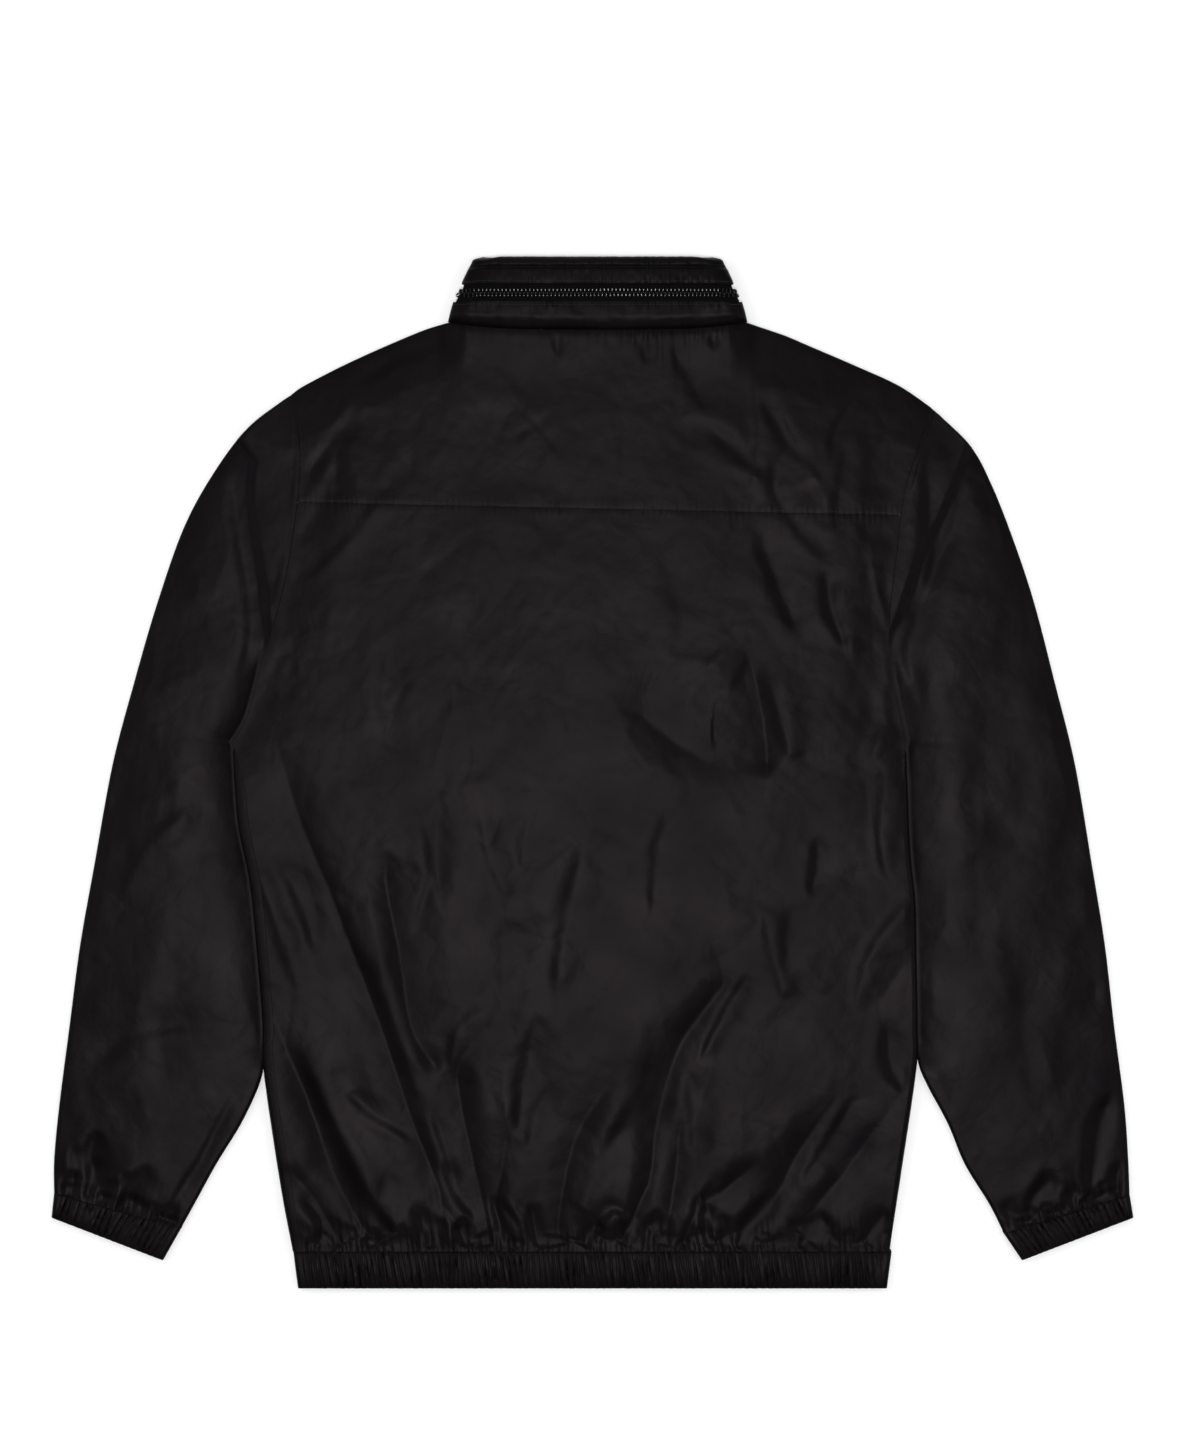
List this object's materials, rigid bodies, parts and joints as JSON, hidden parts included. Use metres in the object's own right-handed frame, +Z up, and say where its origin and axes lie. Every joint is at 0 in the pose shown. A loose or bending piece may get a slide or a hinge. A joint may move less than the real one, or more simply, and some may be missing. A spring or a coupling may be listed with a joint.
{
  "type": "hooded jacket",
  "caption": "Black taffeta jacket laid flat on its front, with a back yoke, gathered hem and cuffs, and a zipped stand collar that holds its rolled hood.",
  "frame": {"origin": "middle of the footprint's bounding box, on the surface the jacket lies on", "axes": "+X towards the wearer's right sleeve, +Y from the hem to the collar, +Z up and out of the back"},
  "size_m": [0.834, 0.7944, 0.0161],
  "materials": {
    "taffeta": "satin",
    "zip_tape": "matte woven",
    "zip_teeth": "gloss",
    "zip_metal": "satin"
  },
  "bodies": {
    "garment": {"back_yoke": "taffeta", "back_panel": "taffeta", "front_left": "taffeta", "front_right": "taffeta", "sleeve_left": "taffeta", "sleeve_right": "taffeta", "cuff_left": "taffeta", "cuff_right": "taffeta", "hem_band": "taffeta", "collar_lower_band": "taffeta", "collar_upper_band": "taffeta", "hood_rolled": "taffeta", "collar_zip_tape": "zip_tape", "collar_zip_chain": "zip_teeth", "front_zip_chain": "zip_teeth", "front_zip_slider": "zip_metal", "collar_zip_slider": "zip_metal"},
    "front_pull": {"front_zip_pull": "zip_metal"},
    "collar_pull": {"collar_zip_pull": "zip_metal"}
  },
  "joints": [
    {"name": "front_pull_hinge", "type": "hinge", "parent": "garment", "child": "front_pull", "pos_m": [0.002, 0.36195, 0.00105], "axis": [1, 0, 0], "range_deg": [0, 170]},
    {"name": "collar_pull_hinge", "type": "hinge", "parent": "garment", "child": "collar_pull", "pos_m": [0.05, 0.34451, 0.00105], "axis": [0, 1, 0], "range_deg": [0, 170]}
  ]
}
